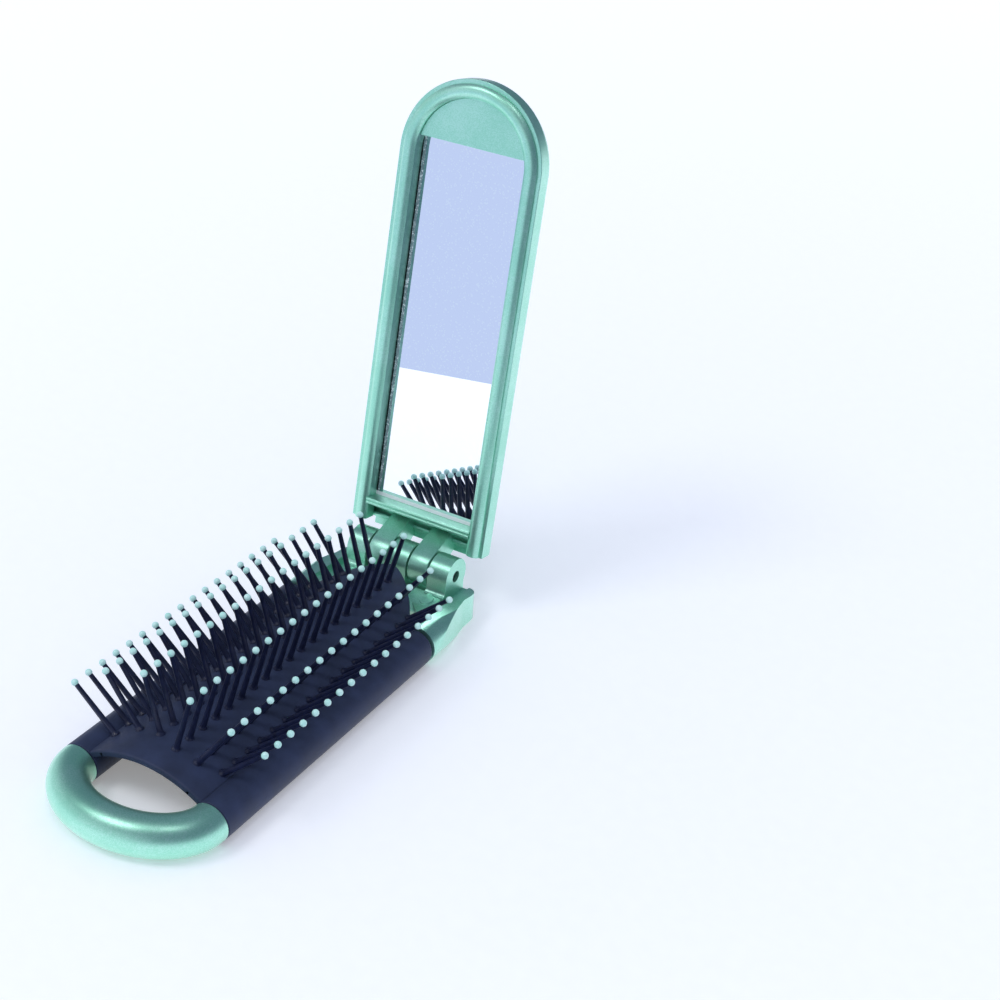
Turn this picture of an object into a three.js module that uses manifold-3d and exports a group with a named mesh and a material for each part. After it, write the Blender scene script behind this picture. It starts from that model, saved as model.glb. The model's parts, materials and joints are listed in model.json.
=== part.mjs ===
// A folding pocket hair brush with a mirror in its lid, shown open.
// Units are millimetres, +Z is up, +X runs across the brush and -Y towards the finger loop.
// The origin is on the surface that the brush lies on, straight below the lid's hinge axis.
import * as THREE from "three";
import { mergeVertices } from "three/addons/utils/BufferGeometryUtils.js";
import Module from "manifold-3d";

const wasm = await Module();
wasm.setup();

// Frame: a tube bent into a finger loop, whose thinner ends are the rails that the grips turn on
const TUBE_D = 8.4;
const RAIL_X = 15.4;
const RAIL_D = 4.6;
const LOOP_START_Y = -90;
const LOOP_REACH = 10.8;
const LOOP_STEPS = 28;
const LOOP_LEAD = 1;

// Hinge block
const GRIP_END_Y = -19.4;
const SOCKET_DEPTH = 7;
const BLOCK_BACK_Y = 3.4;
const BLOCK_BACK_WIDTH = 33.6;
const BLOCK_TAPER_START = 3.5;
const BLOCK_CORNER = 3;
const BLOCK_FLOOR_TOP = 5.7;
const BLOCK_RAMP_START = 2;
const BLOCK_WING_TOP = 7.4;
const BLOCK_WING_FALL = 1.2;
const BLOCK_PAD_STEPS = 12;
const BLOCK_PAD_SWEEP = 1.2;
const SLOT_FLOOR = 2.4;
const BARREL_POCKET = 1.6;

// Hinge
const HINGE_Z = 10.3;
const KNUCKLE_D = 8.3;
const KNUCKLE_WIDTH = 4.8;
const KNUCKLE_GAP = 0.4;
const KNUCKLE_COUNT = 5;
const PIN_D = 2;
const PIN_RECESS = 0.8;

// Bristle pad, an arch of rubber between the grips
const PAD_RADIUS = 25;
const PAD_TOP = 11.5;
const PAD_THICKNESS = 1.2;
const CREASE_THICKNESS = 0.6;
const PAD_FRONT_Y = -89.7;
const PAD_BACK_Y = -4.9;
const PAD_BACK_SLOPE = 0.45;
const PAD_BACK_CURVE = 0.045;
const PAD_SPLIT_X = 11.4;
const PAD_INNER_OUTER_X = 9.75;
const PAD_INNER_X = 0.85;
const GRIP_WALL = 1.5;
const SEAM_ANGLE = 24;

// Pins
const PIN_PITCH = 4;
const PIN_FRONT_Y = -82.4;
const PIN_LENGTH = 13.6;
const PIN_SHAFT_D = 1.15;
const PIN_TIP_D = 1.45;
const PIN_TAPER = 0.85;
const PIN_SINK = 0.7;
const PIN_SIDES = 4;
const PIN_STAGGER = 1;
const CENTRE_ROW = { x: 2.6, lean: 16, backY: -9, stagger: -1 };
const MIDDLE_ROW = { x: 7.6, lean: 37, backY: -13, stagger: -1 };
const OUTER_ROW = { x: 11.9, lean: 49, backY: -17, stagger: 1 };

// Lid, given as it lies when its rim is level with the brush
const LID_OPEN_ANGLE = 100;
const LID_WIDTH = 33.6;
const LID_BACK_Y = -4.5;
const LID_TIP_Y = -104.7;
const LID_RIM_Z = 12.3;
const LID_THICKNESS = 6.3;
const LID_WALL = 1.1;
const LID_SHOULDER = 2.4;
const LID_PARTING = 1.1;
const LID_TONGUE_WIDTH = 26.4;
const LID_TONGUE_Y = -2.4;
const ARM_REACH_Y = -6.2;
const ARM_DIP = 0.9;
const RIM_STEP = 0.6;
const RIM_WIDTH = 3.9;
const RIM_CHAMFER = 0.6;
const MIRROR_RECESS = 3.5;
const MIRROR_THICKNESS = 0.8;
const TAPE_THICKNESS = 0.4;
const TAPE_GAP = 0.2;
const MIRROR_FRONT_Y = -90.9;
const BAR_BACK_Y = -8.4;
const BAR_WIDTH = 1.5;
const MIRROR_LIP = 1;
const PANEL_RECESS = 1.5;

const CLEARANCE = 0.3;
const BORE_CLEARANCE = 0.35;
const OVERCUT = 1;
const ROUND_SIDES = 20;
const SMALL_SIDES = 12;
const OUTLINE_STEPS = 16;
const RAD = Math.PI / 180;

const tubeR = TUBE_D / 2;
const railZ = tubeR;
const knuckleR = KNUCKLE_D / 2;
const padCentreZ = PAD_TOP - PAD_RADIUS;
const padOuterX = archMeetsGrip();
const barrelHalf = (KNUCKLE_COUNT * KNUCKLE_WIDTH + (KNUCKLE_COUNT - 1) * KNUCKLE_GAP) / 2;
const crownY = LID_TIP_Y + LID_WIDTH / 2;
const lidTopZ = LID_RIM_Z + LID_THICKNESS;
const floorZ = lidTopZ - LID_WALL;
const partingZ = LID_RIM_Z + LID_PARTING;
const mirrorZ = LID_RIM_Z + MIRROR_RECESS;
const windowHalf = LID_WIDTH / 2 - RIM_WIDTH;

// Materials
const mint = new THREE.MeshStandardMaterial({ color: 0x6fc9a8, metalness: 0.35, roughness: 0.35 });
const rubber = new THREE.MeshStandardMaterial({ color: 0x2e3450, metalness: 0, roughness: 0.7 });
const nylon = new THREE.MeshStandardMaterial({ color: 0x20243c, metalness: 0, roughness: 0.4 });
const steel = new THREE.MeshStandardMaterial({ color: 0x6d7075, metalness: 1, roughness: 0.35 });
const glass = new THREE.MeshStandardMaterial({ color: 0xdfe3f2, metalness: 1, roughness: 0.04 });
const foam = new THREE.MeshStandardMaterial({ color: 0xf2f2ee, metalness: 0, roughness: 0.9 });

function toSolid(geometry) {
  geometry.deleteAttribute("normal");
  geometry.deleteAttribute("uv");
  const merged = mergeVertices(geometry, 1e-5);
  return new wasm.Manifold(
    new wasm.Mesh({
      numProp: 3,
      vertProperties: new Float32Array(merged.attributes.position.array),
      triVerts: new Uint32Array(merged.index.array),
    }),
  );
}

function toGeometry(solid) {
  const mesh = solid.getMesh();
  const geometry = new THREE.BufferGeometry();
  geometry.setAttribute("position", new THREE.BufferAttribute(new Float32Array(mesh.vertProperties), 3));
  geometry.setIndex(new THREE.BufferAttribute(new Uint32Array(mesh.triVerts), 1));
  geometry.computeVertexNormals();
  return geometry;
}

function named(name, solid, material) {
  const mesh = new THREE.Mesh(toGeometry(solid), material);
  mesh.name = name;
  return mesh;
}

function box(x0, x1, y0, y1, z0, z1) {
  const geometry = new THREE.BoxGeometry(x1 - x0, y1 - y0, z1 - z0);
  return toSolid(geometry.translate((x0 + x1) / 2, (y0 + y1) / 2, (z0 + z1) / 2));
}

// A round bar along X from x0 to x1
function barX(diameter, x0, x1, y, z, sides = ROUND_SIDES) {
  const geometry = new THREE.CylinderGeometry(diameter / 2, diameter / 2, x1 - x0, sides);
  return toSolid(geometry.rotateZ(Math.PI / 2).translate((x0 + x1) / 2, y, z));
}

// A round bar along Y from y0 to y1
function barY(diameter, x, y0, y1, z, sides = ROUND_SIDES) {
  const geometry = new THREE.CylinderGeometry(diameter / 2, diameter / 2, y1 - y0, sides);
  return toSolid(geometry.translate(x, (y0 + y1) / 2, z));
}

// How far from the middle the arch of the pad reaches the middle of the grip's wall
function archMeetsGrip() {
  const dx = RAIL_X;
  const dz = railZ - padCentreZ;
  const apart = Math.hypot(dx, dz);
  const wallMiddle = tubeR - GRIP_WALL / 2;
  const along = (PAD_RADIUS ** 2 - wallMiddle ** 2 + apart ** 2) / (2 * apart);
  const off = Math.sqrt(PAD_RADIUS ** 2 - along ** 2);
  return (along * dx - off * dz) / apart;
}

// A flat outline in X and Y, raised from z0 to z1
function prismZ(shape, z0, z1, segments = 12) {
  const geometry = new THREE.ExtrudeGeometry(shape, {
    depth: z1 - z0,
    bevelEnabled: false,
    curveSegments: segments,
  });
  return toSolid(geometry.translate(0, 0, z0));
}

// A flat outline in Y and Z, drawn out along X from x0 to x1
function prismX(shape, x0, x1, segments = 8) {
  const geometry = new THREE.ExtrudeGeometry(shape, {
    depth: x1 - x0,
    bevelEnabled: false,
    curveSegments: segments,
  });
  geometry.rotateX(Math.PI / 2).rotateZ(Math.PI / 2);
  return toSolid(geometry.translate(x0, 0, 0));
}

// A flat outline in X and Z, drawn out along Y from y0 to y1
function prismY(shape, y0, y1, segments = 8) {
  const geometry = new THREE.ExtrudeGeometry(shape, {
    depth: y1 - y0,
    bevelEnabled: false,
    curveSegments: segments,
  });
  return toSolid(geometry.rotateX(Math.PI / 2).translate(0, y1, 0));
}

function mirrored(solid) {
  return solid.mirror([1, 0, 0]);
}

function knuckleStart(index) {
  return -barrelHalf + index * (KNUCKLE_WIDTH + KNUCKLE_GAP);
}

// Finger loop with both rails, one moulding
function loopFrame() {
  const points = [new THREE.Vector3(RAIL_X, LOOP_START_Y + LOOP_LEAD, railZ)];
  for (let i = 0; i <= LOOP_STEPS; i += 1) {
    const angle = (Math.PI * i) / LOOP_STEPS;
    const y = LOOP_START_Y - LOOP_REACH * Math.sin(angle);
    points.push(new THREE.Vector3(RAIL_X * Math.cos(angle), y, railZ));
  }
  points.push(new THREE.Vector3(-RAIL_X, LOOP_START_Y + LOOP_LEAD, railZ));
  const section = new THREE.Shape();
  section.absarc(0, 0, tubeR, 0, 2 * Math.PI);
  const geometry = new THREE.ExtrudeGeometry(section, {
    steps: points.length - 1,
    curveSegments: 6,
    bevelEnabled: false,
    extrudePath: new THREE.CatmullRomCurve3(points, false, "centripetal"),
  });
  const wide = 2 * RAIL_X;
  const leads = box(-wide, wide, LOOP_START_Y, 0, -OVERCUT, TUBE_D + OVERCUT);
  let solid = toSolid(geometry).subtract(leads);
  const railEnd = GRIP_END_Y + SOCKET_DEPTH - CLEARANCE;
  for (const side of [-1, 1]) {
    solid = solid.add(barY(RAIL_D, side * RAIL_X, LOOP_START_Y - OVERCUT, railEnd, railZ, SMALL_SIDES));
  }
  return solid;
}

// The line in plan along which the pad ends at the back, for a place x from the middle
function padBackY(x) {
  const off = Math.abs(x);
  return PAD_BACK_Y - PAD_BACK_SLOPE * off - PAD_BACK_CURVE * off * off;
}

// The hinge block in plan: two arms to the front, a taper to the back and a curve behind the pad
function blockOutline(halfFront, armInner) {
  const halfBack = BLOCK_BACK_WIDTH / 2;
  const frontY = GRIP_END_Y + CLEARANCE;
  const taperY = GRIP_END_Y + BLOCK_TAPER_START;
  const cornerY = BLOCK_BACK_Y - BLOCK_CORNER;
  const outline = new THREE.Shape();
  outline.moveTo(armInner, frontY);
  outline.lineTo(halfFront, frontY);
  outline.lineTo(halfFront, taperY);
  outline.lineTo(halfBack, cornerY - BLOCK_CORNER);
  outline.lineTo(halfBack, cornerY);
  outline.quadraticCurveTo(halfBack, BLOCK_BACK_Y, halfBack - BLOCK_CORNER, BLOCK_BACK_Y);
  outline.lineTo(-halfBack + BLOCK_CORNER, BLOCK_BACK_Y);
  outline.quadraticCurveTo(-halfBack, BLOCK_BACK_Y, -halfBack, cornerY);
  outline.lineTo(-halfBack, cornerY - BLOCK_CORNER);
  outline.lineTo(-halfFront, taperY);
  outline.lineTo(-halfFront, frontY);
  outline.lineTo(-armInner, frontY);
  for (let i = 0; i <= BLOCK_PAD_STEPS; i += 1) {
    const x = -armInner + (2 * armInner * i) / BLOCK_PAD_STEPS;
    const nearer = Math.max(Math.abs(x) - BLOCK_PAD_SWEEP, 0);
    outline.lineTo(x, padBackY(nearer) + 2 * CLEARANCE);
  }
  return outline;
}

// What the block loses so that its arms and wings have the tube's section
function aroundTubes(halfFront) {
  const out = halfFront + OVERCUT;
  const shape = new THREE.Shape();
  shape.moveTo(-out, -OVERCUT);
  shape.lineTo(out, -OVERCUT);
  shape.lineTo(out, TUBE_D + OVERCUT);
  shape.lineTo(-out, TUBE_D + OVERCUT);
  const hole = new THREE.Path();
  hole.moveTo(-RAIL_X, 0);
  hole.lineTo(RAIL_X, 0);
  hole.absarc(RAIL_X, railZ, tubeR, -Math.PI / 2, Math.PI / 2, false);
  hole.lineTo(-RAIL_X, TUBE_D);
  hole.absarc(-RAIL_X, railZ, tubeR, Math.PI / 2, (Math.PI * 3) / 2, false);
  shape.holes.push(hole);
  return prismY(shape, GRIP_END_Y - OVERCUT, BLOCK_BACK_Y + OVERCUT, 10);
}

// Beside the pad the arms are round on the inside too, where the outer pins lean over them
function armRelief(armInner) {
  const innerX = RAIL_X - tubeR;
  const corner = new THREE.Shape();
  corner.moveTo(RAIL_X, TUBE_D + OVERCUT);
  corner.lineTo(innerX - OVERCUT, TUBE_D + OVERCUT);
  corner.lineTo(innerX - OVERCUT, railZ);
  corner.lineTo(innerX, railZ);
  corner.absarc(RAIL_X, railZ, tubeR, Math.PI, Math.PI / 2, true);
  return prismY(corner, GRIP_END_Y - OVERCUT, padBackY(armInner) + 2 * OVERCUT, 10);
}

// What lies above the floor behind the pad, which falls from the pad to the barrel
function aboveFloor() {
  const backY = BLOCK_BACK_Y + OVERCUT;
  const frontY = GRIP_END_Y + BLOCK_RAMP_START;
  const top = new THREE.Shape();
  top.moveTo(backY, BLOCK_FLOOR_TOP);
  top.lineTo(-knuckleR - BLOCK_RAMP_START, BLOCK_FLOOR_TOP);
  top.lineTo(frontY, TUBE_D);
  top.lineTo(frontY, TUBE_D + OVERCUT);
  top.lineTo(backY, TUBE_D + OVERCUT);
  const half = barrelHalf + BARREL_POCKET;
  return prismX(top, -half, half);
}

// What lies above the wings beside the barrel, which fall to the back
function aboveWings(halfFront) {
  const backY = BLOCK_BACK_Y + OVERCUT;
  const frontY = GRIP_END_Y + BLOCK_TAPER_START;
  const wing = new THREE.Shape();
  wing.moveTo(backY, BLOCK_WING_TOP - BLOCK_WING_FALL);
  wing.lineTo(-knuckleR, BLOCK_WING_TOP);
  wing.lineTo(frontY, TUBE_D);
  wing.lineTo(frontY, TUBE_D + OVERCUT);
  wing.lineTo(backY, TUBE_D + OVERCUT);
  return prismX(wing, -halfFront - OVERCUT, halfFront + OVERCUT);
}

// A knuckle of the block on its saddle
function baseKnuckle(index) {
  const x0 = knuckleStart(index);
  const x1 = x0 + KNUCKLE_WIDTH;
  const saddle = new THREE.Shape();
  saddle.moveTo(-knuckleR, BLOCK_FLOOR_TOP - OVERCUT);
  saddle.lineTo(-knuckleR, HINGE_Z);
  saddle.lineTo(BLOCK_BACK_Y, HINGE_Z);
  saddle.lineTo(BLOCK_BACK_Y, BLOCK_FLOOR_TOP - OVERCUT);
  return barX(KNUCKLE_D, x0, x1, 0, HINGE_Z).add(prismX(saddle, x0, x1));
}

// A slot that a knuckle and an arm of the lid turn in
function armSlot(index) {
  const x0 = knuckleStart(index) - KNUCKLE_GAP;
  const x1 = x0 + KNUCKLE_WIDTH + 2 * KNUCKLE_GAP;
  const slot = new THREE.Shape();
  slot.moveTo(-knuckleR - CLEARANCE, HINGE_Z);
  slot.lineTo(-knuckleR - CLEARANCE, BLOCK_FLOOR_TOP);
  slot.lineTo(0, BLOCK_FLOOR_TOP);
  slot.lineTo(BLOCK_BACK_Y, SLOT_FLOOR);
  slot.lineTo(BLOCK_BACK_Y + OVERCUT, SLOT_FLOOR);
  slot.lineTo(BLOCK_BACK_Y + OVERCUT, HINGE_Z);
  return prismX(slot, x0, x1);
}

// Hinge block: side arms that hold the rails, a floor behind the pad, and three knuckles
function hingeBlock() {
  const halfFront = RAIL_X + tubeR;
  const armInner = padOuterX + CLEARANCE;
  const relief = armRelief(armInner);
  let solid = prismZ(blockOutline(halfFront, armInner), 0, TUBE_D, 4)
    .subtract(aroundTubes(halfFront))
    .subtract(relief)
    .subtract(mirrored(relief))
    .subtract(aboveFloor())
    .subtract(aboveWings(halfFront));
  for (const index of [0, 2, 4]) {
    solid = solid.add(baseKnuckle(index));
  }
  for (const index of [1, 3]) {
    solid = solid.subtract(armSlot(index));
  }
  const bore = PIN_D + 2 * BORE_CLEARANCE;
  const boreEnd = barrelHalf + OVERCUT;
  solid = solid.subtract(barX(bore, -boreEnd, boreEnd, 0, HINGE_Z, SMALL_SIDES));
  const socketD = RAIL_D + 2 * BORE_CLEARANCE;
  const socketEnd = GRIP_END_Y + SOCKET_DEPTH;
  for (const side of [-1, 1]) {
    const socket = barY(socketD, side * RAIL_X, GRIP_END_Y - OVERCUT, socketEnd, railZ, SMALL_SIDES);
    solid = solid.subtract(socket);
  }
  return solid;
}

// One half of a grip's sleeve, as an arc of its ring. Angles run from the top towards the outside.
function sleeveHalf(from, to) {
  const inner = tubeR - GRIP_WALL;
  const shape = new THREE.Shape();
  const a0 = (90 - from) * RAD;
  const a1 = (90 - to) * RAD;
  shape.absarc(RAIL_X, railZ, tubeR, a0, a1, true);
  shape.absarc(RAIL_X, railZ, inner, a1, a0, false);
  return prismY(shape, LOOP_START_Y + CLEARANCE, GRIP_END_Y, 10);
}

// Half angle of the seam between two sleeve halves, so that they keep their gap
const seamHalf = Math.asin(CLEARANCE / 2 / (tubeR - GRIP_WALL)) / RAD;

function rightGrip() {
  return sleeveHalf(-SEAM_ANGLE + seamHalf, 180 - SEAM_ANGLE - seamHalf);
}

// A slice of the arched pad between two places across the brush
function padSlice(x0, x1, thickness = PAD_THICKNESS) {
  const innerR = PAD_RADIUS - thickness;
  const a0 = Math.acos(x0 / PAD_RADIUS);
  const a1 = Math.acos(x1 / PAD_RADIUS);
  const shape = new THREE.Shape();
  shape.absarc(0, padCentreZ, PAD_RADIUS, a1, a0, false);
  shape.absarc(0, padCentreZ, innerR, a0, a1, true);
  const slab = prismY(shape, PAD_FRONT_Y, PAD_BACK_Y, 6);
  const left = x0 - 2 * OVERCUT;
  const right = x1 + 2 * OVERCUT;
  const steps = 5;
  const plan = new THREE.Shape();
  plan.moveTo(left, PAD_FRONT_Y - OVERCUT);
  plan.lineTo(right, PAD_FRONT_Y - OVERCUT);
  for (let i = steps; i >= 0; i -= 1) {
    const x = left + ((right - left) * i) / steps;
    plan.lineTo(x, padBackY(x));
  }
  return slab.intersect(prismZ(plan, -OVERCUT, PAD_TOP + OVERCUT));
}

// One pin: four sides, a shaft that narrows and a ball tip drawn as a diamond
function pinSolid(row, y) {
  const foot = PAD_RADIUS - PIN_SINK;
  const angle = Math.asin(row.x / PAD_RADIUS);
  const base = new THREE.Vector3(foot * Math.sin(angle), y, padCentreZ + foot * Math.cos(angle));
  const surface = new THREE.Vector3(row.x, y, padCentreZ + PAD_RADIUS * Math.cos(angle));
  const direction = new THREE.Vector3(Math.sin(row.lean * RAD), 0, Math.cos(row.lean * RAD));
  const tip = surface.clone().addScaledVector(direction, PIN_LENGTH - PIN_TIP_D / 2);
  const length = tip.distanceTo(base);
  const slope = Math.atan2(tip.x - base.x, tip.z - base.z);
  const ball = PIN_TIP_D / 2;
  const shaft = PIN_SHAFT_D / 2;
  const profile = [
    new THREE.Vector2(0, 0),
    new THREE.Vector2(shaft, 0),
    new THREE.Vector2(shaft * PIN_TAPER, length - ball),
    new THREE.Vector2(ball, length),
    new THREE.Vector2(0, length + ball),
  ];
  const geometry = new THREE.LatheGeometry(profile, PIN_SIDES);
  geometry.rotateY(Math.PI / PIN_SIDES).rotateX(Math.PI / 2).rotateY(slope);
  return toSolid(geometry.translate(base.x, base.y, base.z));
}

// As many pins as fit before the row's back limit. The rows are staggered so that
// the pins of both sides pass between each other when the pad folds
function rowOfPins(slice, row, side) {
  const first = PIN_FRONT_Y + side * row.stagger * PIN_STAGGER;
  const count = Math.floor((row.backY - first) / PIN_PITCH) + 1;
  const pins = [];
  for (let i = 0; i < count; i += 1) {
    pins.push(pinSolid(row, first + i * PIN_PITCH));
  }
  return pins.reduce((whole, pin) => whole.add(pin), slice);
}

// The outer row sits on the inner half of the grip's sleeve, with the edge of the pad
function outerRow(side) {
  const half = sleeveHalf(-180 - SEAM_ANGLE + seamHalf, -SEAM_ANGLE - seamHalf);
  return rowOfPins(half.add(padSlice(PAD_SPLIT_X, padOuterX)), OUTER_ROW, side);
}

function innerRows(side) {
  const slice = padSlice(PAD_INNER_X, PAD_INNER_OUTER_X);
  return rowOfPins(rowOfPins(slice, CENTRE_ROW, side), MIDDLE_ROW, side);
}

// Thin rubber between the stiff parts of the pad, which bends when the pad folds
function sideCrease() {
  return padSlice(PAD_INNER_OUTER_X + CLEARANCE, PAD_SPLIT_X - CLEARANCE, CREASE_THICKNESS);
}

function centreCrease() {
  const half = PAD_INNER_X - CLEARANCE;
  return padSlice(-half, half, CREASE_THICKNESS);
}

// The lid's outline in plan, drawn in by an inset
function lidShape(inset, backY = LID_BACK_Y - inset) {
  const half = LID_WIDTH / 2 - inset;
  const shape = new THREE.Shape();
  shape.moveTo(half, backY);
  shape.lineTo(half, crownY);
  shape.absarc(0, crownY, half, 0, -Math.PI, true);
  shape.lineTo(-half, backY);
  return shape;
}

// An arm of the lid with its knuckle: a plate from the lid's floor down to the barrel
function lidArm(x0) {
  const x1 = x0 + KNUCKLE_WIDTH;
  const inShell = floorZ + LID_WALL / 2;
  const arm = new THREE.Shape();
  arm.moveTo(ARM_REACH_Y, inShell);
  arm.lineTo(ARM_REACH_Y, floorZ);
  arm.lineTo(-knuckleR, HINGE_Z + ARM_DIP);
  arm.lineTo(-knuckleR, HINGE_Z);
  arm.lineTo(0, HINGE_Z);
  arm.lineTo(0, HINGE_Z + knuckleR);
  arm.lineTo(LID_TONGUE_Y, inShell);
  return prismX(arm, x0, x1).add(barX(KNUCKLE_D, x0, x1, 0, HINGE_Z));
}

// Outer shell of the lid, whose floor reaches over the barrel, with its two arms and knuckles
function lidShell() {
  const body = new THREE.ExtrudeGeometry(lidShape(LID_SHOULDER), {
    depth: lidTopZ - partingZ,
    bevelEnabled: true,
    bevelThickness: LID_SHOULDER,
    bevelSize: LID_SHOULDER,
    bevelSegments: 3,
    curveSegments: OUTLINE_STEPS,
  });
  const half = LID_TONGUE_WIDTH / 2;
  const below = box(-LID_WIDTH, LID_WIDTH, LID_TIP_Y - OVERCUT, 0, partingZ - 2 * LID_SHOULDER, partingZ);
  let solid = toSolid(body.translate(0, 0, partingZ - LID_SHOULDER))
    .subtract(below)
    .subtract(prismZ(lidShape(LID_WALL, LID_BACK_Y + OVERCUT), partingZ - OVERCUT, floorZ, OUTLINE_STEPS))
    .add(box(-half, half, LID_BACK_Y - LID_SHOULDER, LID_TONGUE_Y, floorZ, lidTopZ));
  for (const index of [1, 3]) {
    solid = solid.add(lidArm(knuckleStart(index)));
  }
  const bore = PIN_D + 2 * BORE_CLEARANCE;
  return solid.subtract(barX(bore, -barrelHalf, barrelHalf, 0, HINGE_Z, SMALL_SIDES));
}

// The hollow of the rim, which narrows over a chamfer and runs straight down to the mirror
function rimHollow() {
  const chamfer = new THREE.ExtrudeGeometry(lidShape(RIM_WIDTH, 0), {
    depth: OVERCUT,
    bevelEnabled: true,
    bevelThickness: RIM_CHAMFER,
    bevelSize: RIM_CHAMFER,
    bevelSegments: 1,
    curveSegments: OUTLINE_STEPS,
  });
  const mouth = toSolid(chamfer.translate(0, 0, LID_RIM_Z - OVERCUT));
  const straight = prismZ(lidShape(RIM_WIDTH, 0), LID_RIM_Z, mirrorZ, OUTLINE_STEPS);
  const above = LID_RIM_Z - OVERCUT;
  const barFront = box(-LID_WIDTH, LID_WIDTH, LID_TIP_Y, BAR_BACK_Y - BAR_WIDTH, above, mirrorZ);
  const panel = box(-LID_WIDTH, LID_WIDTH, LID_TIP_Y, MIRROR_FRONT_Y, LID_RIM_Z + PANEL_RECESS, mirrorZ);
  return mouth.add(straight).intersect(barFront).subtract(panel);
}

// Rim, bar and crown panel, one moulding that holds the mirror down into the shell
function mirrorFrame() {
  const seat = LID_WALL + CLEARANCE;
  const deep = mirrorZ - CLEARANCE;
  const plugTop = LID_RIM_Z + CLEARANCE;
  const parting = partingZ - CLEARANCE;
  const crest = prismZ(lidShape(RIM_STEP, LID_BACK_Y), LID_RIM_Z, parting, OUTLINE_STEPS);
  const plug = prismZ(lidShape(seat, LID_BACK_Y), plugTop, deep, OUTLINE_STEPS);
  const pocket = box(-windowHalf, windowHalf, BAR_BACK_Y, 0, LID_RIM_Z - OVERCUT, deep + OVERCUT);
  return crest.add(plug).subtract(pocket).subtract(rimHollow());
}

function slab(thickness, z0, inset) {
  const half = windowHalf + MIRROR_LIP - inset;
  const y0 = MIRROR_FRONT_Y - MIRROR_LIP + inset;
  const y1 = BAR_BACK_Y - BAR_WIDTH + MIRROR_LIP - inset;
  return box(-half, half, y0, y1, z0, z0 + thickness);
}

const brush = new THREE.Group();
brush.add(named("loop_frame", loopFrame(), mint));
brush.add(named("hinge_block", hingeBlock(), mint));
brush.add(named("right_grip", rightGrip(), rubber));
brush.add(named("left_grip", mirrored(rightGrip()), rubber));
brush.add(named("right_outer_row", outerRow(1), rubber));
brush.add(named("left_outer_row", mirrored(outerRow(-1)), rubber));
brush.add(named("right_inner_rows", innerRows(1), nylon));
brush.add(named("left_inner_rows", mirrored(innerRows(-1)), nylon));
brush.add(named("right_crease", sideCrease(), rubber));
brush.add(named("left_crease", mirrored(sideCrease()), rubber));
brush.add(named("centre_crease", centreCrease(), rubber));
const pinHalf = barrelHalf - PIN_RECESS;
brush.add(named("hinge_pin", barX(PIN_D, -pinHalf, pinHalf, 0, HINGE_Z, SMALL_SIDES), steel));

// The lid's pieces are made about the hinge axis and turned open together
const lid = new THREE.Group();
lid.position.set(0, 0, HINGE_Z);
lid.rotation.x = -LID_OPEN_ANGLE * RAD;
const level = new THREE.Group();
level.position.z = -HINGE_Z;
level.add(named("lid_shell", lidShell(), mint));
level.add(named("mirror_frame", mirrorFrame(), mint));
level.add(named("mirror_glass", slab(MIRROR_THICKNESS, mirrorZ, CLEARANCE), glass));
const tapeZ = mirrorZ + MIRROR_THICKNESS + TAPE_GAP;
level.add(named("mirror_tape", slab(TAPE_THICKNESS, tapeZ, 2 * MIRROR_LIP), foam));
lid.add(level);
brush.add(lid);

export default brush;
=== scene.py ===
"""Looks of a folding pocket hair brush with a mirror in its lid, shown open on a pale table."""

import json
import math

import bmesh
import bpy
from mathutils import Matrix, Vector


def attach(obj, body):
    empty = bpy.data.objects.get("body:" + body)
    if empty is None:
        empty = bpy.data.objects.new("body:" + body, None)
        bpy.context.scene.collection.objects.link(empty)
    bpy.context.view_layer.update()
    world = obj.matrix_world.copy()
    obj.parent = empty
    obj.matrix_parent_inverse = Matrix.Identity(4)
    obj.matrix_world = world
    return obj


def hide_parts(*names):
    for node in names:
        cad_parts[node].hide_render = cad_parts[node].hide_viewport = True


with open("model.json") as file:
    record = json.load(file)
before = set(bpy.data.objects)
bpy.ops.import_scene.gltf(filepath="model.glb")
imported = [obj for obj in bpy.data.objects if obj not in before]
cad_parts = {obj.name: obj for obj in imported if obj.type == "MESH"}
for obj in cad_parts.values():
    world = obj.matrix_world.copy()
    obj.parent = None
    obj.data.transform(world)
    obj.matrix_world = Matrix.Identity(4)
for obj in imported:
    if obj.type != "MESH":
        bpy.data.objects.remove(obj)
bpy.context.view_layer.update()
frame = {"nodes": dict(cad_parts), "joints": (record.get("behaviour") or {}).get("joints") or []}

# Sizes in millimetres. The lid's places are those of the lid laid shut; OPEN_LID turns it up.
MM = 0.001
TUBE_R = 4.2
RAIL_X = 15.4
RAIL_R = 2.3
LOOP_START_Y = -90.0
LOOP_REACH = 10.8
GRIP_FRONT_Y = -89.7
GRIP_BACK_Y = -19.4
RAIL_BACK_Y = -12.7
PAD_R = 25.0
PAD_TOP = 11.5
PAD_SKIN = 1.2
LIP_ROUND = 0.45
PAD_FRONT_Y = -89.7
PAD_BACK_Y = -4.9
PAD_OUTER_X = 13.1
PAD_FOLD_X = 10.6
FOLD_LAP = 0.4
PIN_PITCH = 4.0
PIN_FRONT_Y = -82.4
PIN_STAGGER = 1.0
PIN_TIP_R = 0.73
PIN_SHAFT_R = 0.59
ROWS = {
    "centre": {"x": 2.6, "lean": 16, "count": 19, "stagger": -1, "length": 13.6},
    "middle": {"x": 7.6, "lean": 37, "count": 18, "stagger": -1, "length": 13.6},
    "outer": {"x": 11.9, "lean": 49, "count": 17, "stagger": 1, "length": 13.3},
}
KNUCKLE_R = 4.15
KNUCKLE_WIDTH = 4.8
KNUCKLE_GAP = 0.4
KNUCKLES = 5
LID_OPEN = math.radians(100)
LID_HALF = 16.8
LID_BACK_Y = -4.5
LID_TIP_Y = -104.7
LID_ROUND_Y = LID_TIP_Y + LID_HALF
LID_RIM_Z = 12.3
LID_TOP_Z = 18.55
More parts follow.
